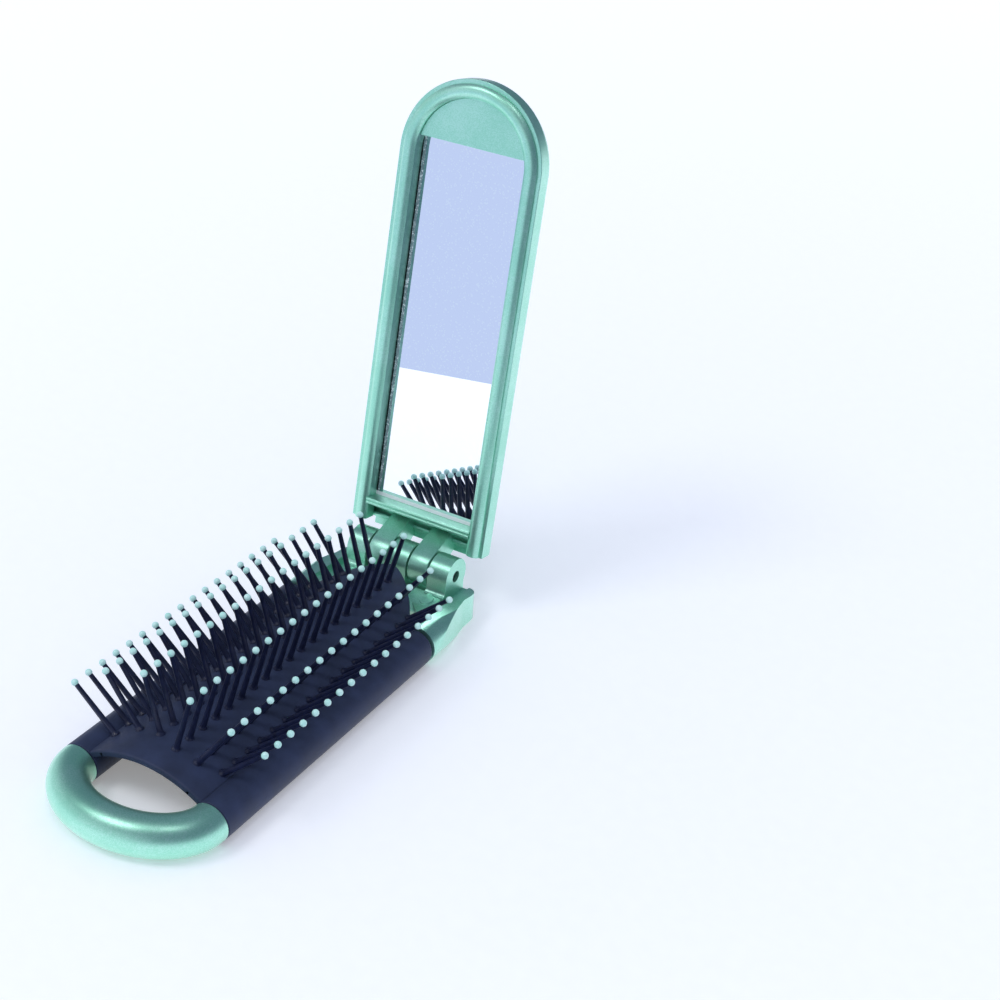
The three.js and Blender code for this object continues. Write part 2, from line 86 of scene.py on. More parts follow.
LID_PARTING_Z = 13.4
LID_SHOULDER = 2.4
LID_WALL = 1.1
TONGUE_HALF = 13.2
TONGUE_Y = -2.4
ARM_SLOPE = math.radians(27)
FOOT_BAND = 0.8
RIM_STEP = 0.9
RIM_CROWN = 0.8
WINDOW_HALF = 12.9
SILVER_Z = 15.95
SILVER_THICK = 0.25
MIRROR_TOP_Y = -90.9
BAR_FRONT_Y = -9.9
BAR_BACK_Y = -8.4
PANEL_Z = 13.8
FLOOR_Z = 5.7
RAMP_TOP_Z = 7.25
RAMP_SLOPE = 0.226

HINGE = Vector(next(j for j in frame["joints"] if j["name"] == "lid_close")["pos_m"])
OPEN_LID = (
    Matrix.Translation(HINGE)
    @ Matrix.Rotation(-LID_OPEN, 4, "X")
    @ Matrix.Translation(-HINGE)
)
HINGE_Z = HINGE.z / MM


# Materials

def srgb(code):
    """Turns an sRGB hex colour into the linear colour that a shader takes."""
    parts = [int(code[i:i + 2], 16) / 255 for i in (0, 2, 4)]
    return tuple(c / 12.92 if c <= 0.04045 else ((c + 0.055) / 1.055) ** 2.4 for c in parts) + (1,)


def add_node(tree, kind, settings=None, stops=(), **inputs):
    """Adds a node with its fields, a ramp's stops as (place, hex colour), and its inputs.
    An input is named as its socket, or i and its number, and takes a value or an output to link."""
    node = tree.nodes.new(kind)
    for field, value in (settings or {}).items():
        setattr(node, field, value)
    if stops:
        elements = node.color_ramp.elements
        while len(elements) < len(stops):
            elements.new(0.5)
        for element, (position, code) in zip(elements, stops):
            element.position = position
            element.color = srgb(code)
    for name, value in inputs.items():
        number = name[1:]
        socket = node.inputs[int(number) if number.isdigit() else name.replace("_", " ")]
        if isinstance(value, bpy.types.NodeSocket):
            tree.links.new(value, socket)
        else:
            socket.default_value = value
    return node


def new_material(name):
    """Starts a material and returns it with its tree, its shader and the place of a point in millimetres."""
    material = bpy.data.materials.new(name)
    material.use_nodes = True
    tree = material.node_tree
    shader = tree.nodes["Principled BSDF"]
    place = add_node(tree, "ShaderNodeTexCoord").outputs["Object"]
    in_mm = add_node(tree, "ShaderNodeVectorMath", {"operation": "SCALE"}, Vector=place, Scale=1 / MM)
    return material, tree, shader, in_mm.outputs[0]


def pearl_paint():
    """ABS sprayed with a pearl lacquer: aluminium-like flakes under a satin clear coat.
    The flakes give broad soft highlights and deep greens where the surface turns away."""
    material, tree, shader, place = new_material("abs_pearl_lacquer_mint")
    # Flakes are about 0.05 mm; drawn at 0.16 mm so that they show as a faint sparkle
    flakes = add_node(
        tree, "ShaderNodeTexVoronoi", {"feature": "F1"}, Vector=place, Scale=1 / 0.16, Randomness=1.0
    ).outputs["Color"]
    flake_shade = add_node(tree, "ShaderNodeSeparateColor", Color=flakes).outputs["Red"]
    clouds = add_node(tree, "ShaderNodeTexNoise", Vector=place, Scale=1 / 9.0, Detail=3.0).outputs["Fac"]
    mixed = add_node(
        tree, "ShaderNodeMath", {"operation": "MULTIPLY_ADD"}, i0=flake_shade, i1=0.5, i2=clouds
    ).outputs[0]
    greens = [(0.25, "95dfc4"), (0.75, "a4e7cf"), (1.0, "b8f0de")]
    colour = add_node(tree, "ShaderNodeValToRGB", stops=greens, Fac=mixed).outputs["Color"]
    tree.links.new(colour, shader.inputs["Base Color"])
    shader.inputs["Metallic"].default_value = 0.85
    satin = add_node(tree, "ShaderNodeMapRange", Value=clouds, To_Min=0.36, To_Max=0.42).outputs["Result"]
    tree.links.new(satin, shader.inputs["Roughness"])
    shader.inputs["Coat Weight"].default_value = 0.5
    shader.inputs["Coat Roughness"].default_value = 0.2
    # Orange peel of the sprayed coat, about 0.7 mm from crest to crest
    waves = add_node(tree, "ShaderNodeTexNoise", Vector=place, Scale=1 / 0.7).outputs["Fac"]
    orange_peel = add_node(tree, "ShaderNodeBump", Distance=0.012 * MM, Height=waves).outputs["Normal"]
    flaked = add_node(
        tree, "ShaderNodeBump", Strength=0.6, Distance=0.004 * MM, Height=flake_shade, Normal=orange_peel
    ).outputs["Normal"]
    tree.links.new(flaked, shader.inputs["Normal"])
    return material


def soft_rubber():
    """Moulded thermoplastic rubber: matte, faintly dusty, with a mild sheen at grazing angles."""
    material, tree, shader, place = new_material("tpr_rubber_slate")
    blotches = add_node(
        tree, "ShaderNodeTexNoise", Vector=place, Scale=1 / 6.0, Detail=4.0, Roughness=0.6
    ).outputs["Fac"]
    slates = [(0.3, "26304a"), (0.7, "303c5c")]
    colour = add_node(tree, "ShaderNodeValToRGB", stops=slates, Fac=blotches).outputs["Color"]
    tree.links.new(colour, shader.inputs["Base Color"])
    matte = add_node(tree, "ShaderNodeMapRange", Value=blotches, To_Min=0.5, To_Max=0.62).outputs["Result"]
    tree.links.new(matte, shader.inputs["Roughness"])
    shader.inputs["IOR"].default_value = 1.42
    shader.inputs["Sheen Weight"].default_value = 0.03
    shader.inputs["Sheen Roughness"].default_value = 0.5
    # The mould's spark-eroded texture is about 0.05 mm; drawn at 0.18 mm
    grain = add_node(tree, "ShaderNodeTexNoise", Vector=place, Scale=1 / 0.18).outputs["Fac"]
    eroded = add_node(tree, "ShaderNodeBump", Distance=0.012 * MM, Height=grain).outputs["Normal"]
    tree.links.new(eroded, shader.inputs["Normal"])
    return material


def pin_nylon():
    """Injected nylon: near-black blue with a satin skin that catches a narrow highlight."""
    material, tree, shader, place = new_material("nylon_pin_black_blue")
    streaks = add_node(tree, "ShaderNodeTexNoise", Vector=place, Scale=1 / 1.3).outputs["Fac"]
    blues = [(0.3, "151b36"), (0.7, "1f2748")]
    colour = add_node(tree, "ShaderNodeValToRGB", stops=blues, Fac=streaks).outputs["Color"]
    tree.links.new(colour, shader.inputs["Base Color"])
    satin = add_node(tree, "ShaderNodeMapRange", Value=streaks, To_Min=0.3, To_Max=0.42).outputs["Result"]
    tree.links.new(satin, shader.inputs["Roughness"])
    shader.inputs["IOR"].default_value = 1.53
    ripple = add_node(tree, "ShaderNodeTexNoise", Vector=place, Scale=1 / 0.3).outputs["Fac"]
    skin = add_node(tree, "ShaderNodeBump", Distance=0.006 * MM, Height=ripple).outputs["Normal"]
    tree.links.new(skin, shader.inputs["Normal"])
    return material


def tip_lacquer():
    """Epoxy dip on the pin's ball: thick, glossy and pale, a little uneven in tone."""
    material, tree, shader, place = new_material("epoxy_dip_pale_mint")
    tone = add_node(tree, "ShaderNodeTexNoise", Vector=place, Scale=1 / 1.1).outputs["Fac"]
    mints = [(0.25, "b8f5e6"), (0.7, "dcfff7")]
    colour = add_node(tree, "ShaderNodeValToRGB", stops=mints, Fac=tone).outputs["Color"]
    tree.links.new(colour, shader.inputs["Base Color"])
    shader.inputs["Roughness"].default_value = 0.3
    shader.inputs["IOR"].default_value = 1.5
    shader.inputs["Coat Weight"].default_value = 0.3
    runs = add_node(tree, "ShaderNodeTexNoise", Vector=place, Scale=1 / 0.5).outputs["Fac"]
    skin = add_node(tree, "ShaderNodeBump", Distance=0.01 * MM, Height=runs).outputs["Normal"]
    tree.links.new(skin, shader.inputs["Normal"])
    return material


def silvered_glass():
    """Silvered glass, cut and not ground: a clean image inside a chipped, glittering cut edge. A dark line
    of painted shade runs where the cut meets the frame's wall, and a pale band along the foot is a painted
    reflection of the table.
    """
    material, tree, shader, place = new_material("silvered_glass_mirror")
    across = add_node(tree, "ShaderNodeSeparateXYZ", Vector=place).outputs["X"]
    from_middle = add_node(tree, "ShaderNodeMath", {"operation": "ABSOLUTE"}, i0=across).outputs[0]
    # The cut is ragged: its chips are 0.2 to 1 mm long and reach about 1 mm in
    chips = add_node(
        tree, "ShaderNodeTexNoise", Vector=place, Scale=1 / 0.9, Detail=4.0, Roughness=0.7
    ).outputs["Fac"]
    edge = add_node(
        tree, "ShaderNodeMath", {"operation": "MULTIPLY_ADD"}, i0=chips, i1=0.5, i2=from_middle
    ).outputs[0]
    outwards = add_node(
        tree, "ShaderNodeMapRange", Value=edge, From_Min=WINDOW_HALF - 0.75, From_Max=WINDOW_HALF + 0.45
    ).outputs["Result"]
    glitter = add_node(tree, "ShaderNodeTexVoronoi", Vector=place, Scale=1 / 0.3).outputs["Color"]
    sparkle = add_node(tree, "ShaderNodeSeparateColor", Color=glitter).outputs["Red"]
    # Along the foot a pale band is painted, a painted reflection of the white table
    down = (0.0, -math.cos(math.pi - LID_OPEN), -math.sin(LID_OPEN))
    along = add_node(
        tree, "ShaderNodeVectorMath", {"operation": "DOT_PRODUCT"}, i0=place, i1=down
    ).outputs["Value"]
    foot = add_node(
        tree, "ShaderNodeMath", {"operation": "GREATER_THAN"}, i0=along,
        i1=BAR_FRONT_Y - FOOT_BAND + HINGE_Z * down[2],
    ).outputs[0]
    greys = [(0.0, "8ca0a3"), (0.7, "a3b4b6"), (0.9, "f6fbfb")]
    chipped = add_node(tree, "ShaderNodeValToRGB", stops=greys, Fac=sparkle).outputs["Color"]
    image = [(0.0, "f0f4fa"), (0.07, "000000")]
    clear = add_node(tree, "ShaderNodeValToRGB", stops=image, Fac=outwards).outputs["Color"]
    # A colour mix takes its factor at 0 and its colours at 6 and 7, and gives its colour at 2
    silver = add_node(
        tree, "ShaderNodeMix", {"data_type": "RGBA", "blend_type": "LIGHTEN"}, i0=1.0, i6=chipped, i7=clear
    ).outputs[2]
    # A dark line of painted shade, where the mirror's cut edge meets the frame's wall
    painted_shade_stops = [(0.55, "ffffff"), (0.64, "10171a")]
    painted_edge_shade = add_node(tree, "ShaderNodeValToRGB", stops=painted_shade_stops, Fac=outwards).outputs["Color"]
    sides = add_node(
        tree, "ShaderNodeMix", {"data_type": "RGBA", "blend_type": "MULTIPLY"}, i0=1.0, i6=silver, i7=painted_edge_shade
    ).outputs[2]
    # The foot's band is painted near white, a painted reflection of the table
    colour = add_node(
        tree, "ShaderNodeMix", {"data_type": "RGBA"}, i0=foot, i6=sides, i7=srgb("fbfdfd")
    ).outputs[2]
    tree.links.new(colour, shader.inputs["Base Color"])
    # The chipped edge and the foot's painted reflection band are made less metallic and rougher
    cut_edge_and_painted_foot = add_node(tree, "ShaderNodeMath", {"operation": "MAXIMUM"}, i0=foot, i1=outwards).outputs[0]
    silvering = [(0.03, "ffffff"), (0.09, "808080"), (0.9, "808080"), (0.99, "000000")]
    silvered = add_node(tree, "ShaderNodeValToRGB", stops=silvering, Fac=cut_edge_and_painted_foot).outputs["Color"]
    tree.links.new(silvered, shader.inputs["Metallic"])
    roughening = [(0.0, "050505"), (0.06, "8a8a8a")]
    rough = add_node(tree, "ShaderNodeValToRGB", stops=roughening, Fac=cut_edge_and_painted_foot).outputs["Color"]
    tree.links.new(rough, shader.inputs["Roughness"])
    ragged = add_node(tree, "ShaderNodeMath", {"operation": "MULTIPLY"}, i0=outwards, i1=sparkle).outputs[0]
    facets = add_node(tree, "ShaderNodeBump", Distance=0.12 * MM, Height=ragged).outputs["Normal"]
    tree.links.new(facets, shader.inputs["Normal"])
    return material


def pin_steel():
    """Drawn steel wire with a blackened skin: dark, with fine lines along it and a dull cut end."""
    material, tree, shader, place = new_material("steel_wire_blackened")
    drawn = add_node(tree, "ShaderNodeMapping", {"vector_type": "POINT"}, Vector=place, Scale=(0.1, 1, 1))
    lines = add_node(tree, "ShaderNodeTexNoise", Vector=drawn.outputs[0], Scale=1 / 0.12).outputs["Fac"]
    blacks = [(0.3, "0e1012"), (0.7, "1a1c20")]
    colour = add_node(tree, "ShaderNodeValToRGB", stops=blacks, Fac=lines).outputs["Color"]
    tree.links.new(colour, shader.inputs["Base Color"])
    shader.inputs["Metallic"].default_value = 1.0
    satin = add_node(tree, "ShaderNodeMapRange", Value=lines, To_Min=0.3, To_Max=0.5).outputs["Result"]
    tree.links.new(satin, shader.inputs["Roughness"])
    return material


def foam_tape():
    """White acrylic foam tape: soft, matte and finely open-celled at its cut sides."""
    material, tree, shader, place = new_material("foam_tape_white")
    cells = add_node(tree, "ShaderNodeTexVoronoi", Vector=place, Scale=1 / 0.3).outputs["Distance"]
    whites = [(0.0, "d9dad6"), (0.6, "f4f4f1")]
    colour = add_node(tree, "ShaderNodeValToRGB", stops=whites, Fac=cells).outputs["Color"]
    tree.links.new(colour, shader.inputs["Base Color"])
    shader.inputs["Roughness"].default_value = 0.9
    pores = add_node(tree, "ShaderNodeBump", Distance=0.05 * MM, Height=cells).outputs["Normal"]
    tree.links.new(pores, shader.inputs["Normal"])
    return material


PEARL = pearl_paint()
RUBBER = soft_rubber()
NYLON = pin_nylon()
TIP = tip_lacquer()
MIRROR = silvered_glass()
STEEL = pin_steel()
FOAM = foam_tape()


# Mesh helpers. Meshes are drawn in millimetres and turned to metres when they are finished.

def word(side):
    """The name of a side, 1 or -1."""
    return "right" if side > 0 else "left"


def finish(name, bm, materials, body, replaces=(), place=Matrix(), sharp=35, bevel=None, thick=None):
    """Makes a finished piece of a bmesh: merged, facing out, shaded, riding on its body."""
    bmesh.ops.remove_doubles(bm, verts=bm.verts, dist=1e-4)
    bmesh.ops.recalc_face_normals(bm, faces=bm.faces)
    bmesh.ops.transform(bm, matrix=place @ Matrix.Scale(MM, 4), verts=bm.verts)
    mesh = bpy.data.meshes.new(name)
    bm.to_mesh(mesh)
    bm.free()
    for material in materials:
        mesh.materials.append(material)
    mesh.shade_smooth()
    mesh.set_sharp_from_angle(angle=math.radians(sharp))
    piece = bpy.data.objects.new(name, mesh)
    bpy.context.scene.collection.objects.link(piece)
    if thick:
        wall = piece.modifiers.new("wall", "SOLIDIFY")
        wall.thickness = thick * MM
        wall.offset = -1
        wall.use_even_offset = True
    if bevel:
        edge = piece.modifiers.new("edge", "BEVEL")
        edge.width = bevel * MM
        edge.segments = 3
        edge.limit_method = "ANGLE"
        edge.angle_limit = math.radians(sharp)
        edge.harden_normals = True
    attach(piece, body)
    if replaces:
        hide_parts(*replaces)
    return piece


def shift(bm, verts, x=0.0, y=0.0, z=0.0):
    """Moves verts by millimetres."""
    bmesh.ops.translate(bm, verts=verts, vec=(x, y, z))


def only(geometry, kind):
    """Picks the verts, edges or faces out of what an operator returns."""
    return [g for g in geometry if isinstance(g, kind)]


def verts_of(edges):
    """The verts of some edges, each once and always in the same order."""
    return list(dict.fromkeys(v for e in edges for v in e.verts))


def extrude_edges(bm, edges, matrix=None):
    """Extrudes edges, moves the new ones by a matrix and returns them."""
    result = bmesh.ops.extrude_edge_only(bm, edges=edges)["geom"]
    new_verts = only(result, bmesh.types.BMVert)
    if matrix:
        bmesh.ops.transform(bm, matrix=matrix, verts=new_verts)
    kept = set(new_verts)
    return [e for e in only(result, bmesh.types.BMEdge) if e.verts[0] in kept and e.verts[1] in kept]


def cap(bm, edges):
    """Closes a ring of edges with one face."""
    bmesh.ops.contextual_create(bm, geom=edges)


def ring(bm, points):
    """A closed loop of edges through the points."""
    verts = [bm.verts.new(p) for p in points]
    return [bm.edges.new((a, b)) for a, b in zip(verts, verts[1:] + verts[:1])]


def arc(cx, cy, radius, start, end, steps):
    """Points on an arc, angles in degrees."""
    turn = (end - start) / steps
    angles = [math.radians(start + turn * i) for i in range(steps + 1)]
    return [(cx + radius * math.cos(a), cy + radius * math.sin(a)) for a in angles]


def plate_x(bm, outline, x0, x1):
    """A plate across X whose outline is given as (y, z) points."""
    face = bm.faces.new([bm.verts.new((x0, y, z)) for y, z in outline])
    result = bmesh.ops.extrude_face_region(bm, geom=[face])["geom"]
    shift(bm, only(result, bmesh.types.BMVert), x=x1 - x0)


# Finger loop

def loop_matrix(angle):
    """Place of the tube's ring at an angle round the loop, from the right end to the left."""
    y = LOOP_START_Y - LOOP_REACH * math.sin(angle)
    tangent = Vector((-RAIL_X * math.sin(angle), -LOOP_REACH * math.cos(angle), 0)).normalized()
    side = tangent.cross(Vector((0, 0, 1)))
    turn = Matrix((side, Vector((0, 0, 1)), tangent)).transposed().to_4x4()
    return Matrix.Translation((RAIL_X * math.cos(angle), y, TUBE_R)) @ turn


def build_loop():
    """The painted tube, bent round in a half ellipse, and the two rails that run back from its ends."""
    bm = bmesh.new()
    steps = 72
    stations = [loop_matrix(math.pi * i / steps) for i in range(steps + 1)]
    circle = bmesh.ops.create_circle(bm, segments=40, radius=TUBE_R, matrix=stations[0])["verts"]
    inside = set(circle)
    edges = [e for e in bm.edges if e.verts[0] in inside]
    first = edges
    for before, after in zip(stations, stations[1:]):
        edges = extrude_edges(bm, edges, after @ before.inverted())
    # Each painted end turns in over a small radius before it meets the rubber
    step = Vector((0, 0.12, 0))
    for rim in (first, edges):
        for inset in (0.12, 0.3):
            verts = verts_of(rim)
            centre = sum((v.co for v in verts), Vector()) / len(verts)
            scale = (TUBE_R - inset) / TUBE_R
            place = (
                Matrix.Translation(centre + step)
                @ Matrix.Scale(scale, 4)
                @ Matrix.Translation(-centre)
            )
            rim = extrude_edges(bm, rim, place)
        cap(bm, rim)
    for side in (-1, 1):
        place = Matrix.Translation((side * RAIL_X, (LOOP_START_Y + RAIL_BACK_Y) / 2, TUBE_R))
        bmesh.ops.create_cone(
            bm, cap_ends=True, segments=24, radius1=RAIL_R, radius2=RAIL_R,
            depth=RAIL_BACK_Y - LOOP_START_Y, matrix=place @ Matrix.Rotation(math.pi / 2, 4, "X"),
        )
    return finish("finger_loop", bm, [PEARL], "frame", ["loop_frame"])


# Grips and pad

def pad_back_y(x):
    """How far back the pad reaches at x: a blunt round end."""
    off = abs(x)
    return PAD_BACK_Y - 0.45 * off - 0.045 * off * off


def build_grip(side, name):
    """A rubber sleeve with a softly rounded back end."""
    bm = bmesh.new()
    bore = RAIL_R + 0.4
    chamfer = 0.15
    round_r = 1.2
    half = [(bore, GRIP_FRONT_Y), (TUBE_R - chamfer, GRIP_FRONT_Y), (TUBE_R, GRIP_FRONT_Y + chamfer)]
    half += arc(TUBE_R - round_r, GRIP_BACK_Y - round_r, round_r, 0, 80, 5)
    half += [(bore, GRIP_BACK_Y)]
    edges = ring(bm, [(r, y, 0) for r, y in half])
    bmesh.ops.spin(
        bm, geom=edges + verts_of(edges), cent=(0, 0, 0), axis=(0, 1, 0), angle=2 * math.pi, steps=48,
        use_merge=True,
    )
    shift(bm, bm.verts, x=side * RAIL_X, z=TUBE_R)
    return finish(name, bm, [RUBBER], f"{word(side)}_side", [f"{word(side)}_grip"])


def pad_point(x, lift=0.0):
    """The pad's upper surface at x, moved out along its own normal by lift."""
    angle = math.asin(x / PAD_R)
    radius = PAD_R + lift
    return radius * math.sin(angle), PAD_TOP - PAD_R + radius * math.cos(angle)


def build_skin(side, name, body, x0, x1, drop=0.0):
    """A length of the pad's arch between two places across it, its front and back edges rolled over.
    The drop keeps the outer strip's skin just under the inner half's where the two lap."""
    bm = bmesh.new()
    columns = 10
    xs = [x0 + (x1 - x0) * i / columns for i in range(columns + 1)]
    section = [pad_point(x, -drop) for x in xs]
    section += [pad_point(x, -PAD_SKIN) for x in reversed(xs)]
    face = bm.faces.new([bm.verts.new((x, PAD_FRONT_Y, z)) for x, z in section])
    for v in only(bmesh.ops.extrude_face_region(bm, geom=[face])["geom"], bmesh.types.BMVert):
        across = PAD_R * math.sin(math.atan2(v.co.x, v.co.z - PAD_TOP + PAD_R))
        v.co.y = pad_back_y(across)
    rows = 12
    long_edges = [e for e in bm.edges if abs(e.verts[0].co.y - e.verts[1].co.y) > 20]
    bmesh.ops.subdivide_edges(bm, edges=long_edges, cuts=rows, use_grid_fill=True)
    bmesh.ops.recalc_face_normals(bm, faces=bm.faces)
    # The upper edges at the front and back, where a face along the pad meets one across it
    ends = [
        e for e in bm.edges
        if len(e.link_faces) == 2 and abs(e.verts[0].co.y - e.verts[1].co.y) < 1.5
        and {f.normal.y > 0.4 or f.normal.y < -0.4 for f in e.link_faces} == {True, False}
        and min(v.co.x ** 2 + (v.co.z - PAD_TOP + PAD_R) ** 2 for v in e.verts) > (PAD_R - 0.5) ** 2
    ]
    bmesh.ops.bevel(bm, geom=ends, offset=LIP_ROUND, segments=4, profile=0.5, affect="EDGES", material=-1)
    if side < 0:
        bmesh.ops.scale(bm, vec=(-1, 1, 1), verts=bm.verts)
    return finish(name, bm, [RUBBER], f"{word(side)}_{body}")


def pin_mesh(bm, row, y, side):
    """One pin: a small collar at the foot, a shaft that tapers, and a dipped ball."""
    sunk = 0.15
    x, z = pad_point(row["x"], -sunk)
    lean = math.radians(row["lean"])
    length = row["length"] + sunk
    neck = length - PIN_TIP_R * 1.75
    profile = [(0.0, -0.2), (0.95, 0.0), (0.9, 0.3), (0.68, 0.55), (0.64, 0.9), (PIN_SHAFT_R, 4.0)]
    profile += [(PIN_SHAFT_R * 0.82, neck)]
    tip_centre = length - PIN_TIP_R
    ball = [(r, h) for h, r in arc(tip_centre, 0, PIN_TIP_R, 135, 0, 6)]
    profile += ball[:-1] + [(0.0, length)]
    earlier = set(bm.verts)
    verts = [bm.verts.new((r, 0, h)) for r, h in profile]
    edges = [bm.edges.new(pair) for pair in zip(verts, verts[1:])]
    bmesh.ops.spin(
        bm, geom=verts + edges, cent=(0, 0, 0), axis=(0, 0, 1), angle=2 * math.pi, steps=10, use_merge=True
    )
    pin = [v for v in bm.verts if v not in earlier]
    for v in pin:
        for f in v.link_faces:
            f.material_index = 1 if f.calc_center_median().z > neck - 0.1 else 0
    place = Matrix.Translation((side * x, y, z)) @ Matrix.Rotation(side * lean, 4, "Y")
    bmesh.ops.transform(bm, matrix=place, verts=pin)


def build_pins(side, row_name, body, replaces=()):
    """One row of pins, the shafts in nylon and the balls dipped."""
    bm = bmesh.new()
    row = ROWS[row_name]
    first = PIN_FRONT_Y + side * row["stagger"] * PIN_STAGGER
    for i in range(row["count"]):
        pin_mesh(bm, row, first + i * PIN_PITCH, side)
    name = f"{word(side)}_{row_name}_pins"
    return finish(name, bm, [NYLON, TIP], f"{word(side)}_{body}", replaces, sharp=50)


def build_pad():
    """On each side a sleeve, the pad's outer strip and inner half, and three rows of pins."""
    for side in (1, -1):
        build_grip(side, f"{word(side)}_sleeve")
        build_skin(side, f"{word(side)}_pad_edge", "side", PAD_FOLD_X - FOLD_LAP, PAD_OUTER_X, 0.012)
        inner = build_skin(side, f"{word(side)}_pad_half", "middle", 0.0, PAD_FOLD_X)
        build_pins(side, "outer", "side", [f"{word(side)}_outer_row"])
        build_pins(side, "middle", "middle")
        build_pins(side, "centre", "middle", [f"{word(side)}_inner_rows"])
        hidden = [f"{word(side)}_crease"] + (["centre_crease"] if side > 0 else [])
        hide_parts(*hidden)


# Hinge block

def knuckle_start(index):
    """Where one of the five knuckles starts across the brush, from the left."""
    barrel = KNUCKLES * KNUCKLE_WIDTH + (KNUCKLES - 1) * KNUCKLE_GAP
    return -barrel / 2 + index * (KNUCKLE_WIDTH + KNUCKLE_GAP)


def knuckle_fillet(bm, index, radius, foot):
    """The fillet in front of a knuckle, from its side at foot + radius down into the floor."""
    front = -KNUCKLE_R
    fillet = [(front + 0.3, foot - 0.4), (front + 0.3, foot + radius)]
    fillet += arc(front - radius, foot + radius - 0.02, radius, 0, -80, 8)
    fillet += [(front - radius, foot - 0.6)]
    x0 = knuckle_start(index)
    plate_x(bm, fillet, x0 + 0.02, x0 + KNUCKLE_WIDTH - 0.02)


def ramp_z(y):
    """How high the corner's ramp stands at y."""
    return RAMP_TOP_Z + RAMP_SLOPE * (y + KNUCKLE_R)


def corner_ramp(bm, side):
    """The floor beside the pad's round end rises towards the knuckles."""
    front = [(x, pad_back_y(x) + 0.4) for x in (3.2 + 0.6 * i for i in range(9))]
    back = [(12.3, -KNUCKLE_R + 0.3), (8.1, -KNUCKLE_R + 0.3)]
    back += [(8.1, -KNUCKLE_R - 0.35), (3.2, -KNUCKLE_R - 0.35)]
    outline = front + [(12.3, front[-1][1])] + back
    face = bm.faces.new([bm.verts.new((side * x, y, ramp_z(y))) for x, y in outline])
    below = only(bmesh.ops.extrude_face_region(bm, geom=[face])["geom"], bmesh.types.BMVert)
    for v in below:
        v.co.z = FLOOR_Z - 0.3


def ejector_ring(bm, place):
    """The round step that an ejector pin leaves, 3.2 mm across and a fifth of a millimetre high."""
    bmesh.ops.create_cone(
        bm, cap_ends=True, segments=32, radius1=1.6, radius2=1.54, depth=0.3, matrix=place
    )


def build_block():
    """The block keeps its solid's shape, with every edge softened as a mould leaves it.
    Fillets run from its knuckles into the floor, and two ejector pins have left their rings."""
    bm = bmesh.new()
    bm.from_mesh(frame["nodes"]["hinge_block"].data)
    bmesh.ops.transform(bm, matrix=Matrix.Scale(1 / MM, 4), verts=bm.verts)
    bmesh.ops.remove_doubles(bm, verts=bm.verts, dist=1e-3)
    bmesh.ops.dissolve_limit(
        bm, angle_limit=math.radians(1), use_dissolve_boundaries=False, verts=bm.verts, edges=bm.edges
    )
    for index, radius, foot in ((0, 1.2, RAMP_TOP_Z), (2, 0.4, FLOOR_Z), (4, 1.2, RAMP_TOP_Z)):
        knuckle_fillet(bm, index, radius, foot)
    for side in (1, -1):
        corner_ramp(bm, side)
    ring_y = -6.6
    on_ramp = Matrix.Translation((9.55, ring_y, ramp_z(ring_y) + 0.05))
    ejector_ring(bm, on_ramp @ Matrix.Rotation(math.atan(RAMP_SLOPE), 4, "X"))
    in_pocket = Matrix.Translation((0, 3.4, 6.6))
    ejector_ring(bm, in_pocket @ Matrix.Rotation(-math.pi / 2, 4, "X"))
    return finish("hinge_block_body", bm, [PEARL], "frame", ["hinge_block"], sharp=28, bevel=0.3)


# Lid

def rim_sweep(bm, profile):
    """Sweeps a closed profile of (inset, z) points round the lid from one leg's end to the other."""
    run = LID_ROUND_Y - LID_BACK_Y
    first = ring(bm, [(LID_HALF - d, LID_BACK_Y, z) for d, z in profile])
    edges = extrude_edges(bm, first, Matrix.Translation((0, run, 0)))
    spun = bmesh.ops.spin(
        bm, geom=edges + verts_of(edges), cent=(0, LID_ROUND_Y, 0), axis=(0, 0, 1), angle=-math.pi,
        steps=40,
    )["geom_last"]
    last = extrude_edges(bm, only(spun, bmesh.types.BMEdge), Matrix.Translation((0, -run, 0)))
    cap(bm, first)
    cap(bm, last)


def build_mirror_frame():
    """Rim, crown panel and bar, one moulding whose inner wall drops steeply to the mirror."""
    bm = bmesh.new()
    wall = LID_HALF - WINDOW_HALF
    foot = SILVER_Z - 0.05
    # The rim's front is arched: nearly flat along its middle, and RIM_CROWN further back at its edges
    section = [(wall, foot)]
    half = (wall - RIM_STEP) / 2
    for i in range(17):
        across = 1 - i / 8
        section += [(RIM_STEP + half * (1 + across), LID_RIM_Z + RIM_CROWN * abs(across) ** 2.4)]
    section += [(RIM_STEP, LID_PARTING_Z + 0.1), (1.5, LID_PARTING_Z + 0.12), (1.5, foot)]
    rim_sweep(bm, section)
    panel = [bm.verts.new((x, LID_ROUND_Y + y, PANEL_Z)) for x, y in panel_outline()]
    face = bm.faces.new(panel)
    below = only(bmesh.ops.extrude_face_region(bm, geom=[face])["geom"], bmesh.types.BMVert)
    shift(bm, below, z=foot - PANEL_Z)
    bar = [(BAR_FRONT_Y, foot), (BAR_FRONT_Y, LID_RIM_Z + 0.5)]
    for middle in (BAR_FRONT_Y + 0.36, BAR_BACK_Y - 0.36):
        bar += [(y, z) for y, z in arc(middle, LID_RIM_Z + 0.36, 0.34, 190, 350, 8)]
    bar += [(BAR_BACK_Y, LID_RIM_Z + 0.5), (BAR_BACK_Y, foot)]
    plate_x(bm, bar, -WINDOW_HALF - 0.3, WINDOW_HALF + 0.3)
    return finish("mirror_surround", bm, [PEARL], "lid", ["mirror_frame"], OPEN_LID, sharp=32, bevel=0.1)


def panel_outline():
    """The half-moon above the mirror, about the middle of the lid's round end."""
    reach = WINDOW_HALF - 0.06
    drop = MIRROR_TOP_Y - LID_ROUND_Y
    start = math.degrees(math.asin(drop / reach))
    return arc(0, 0, reach, start, -180 - start, 48)


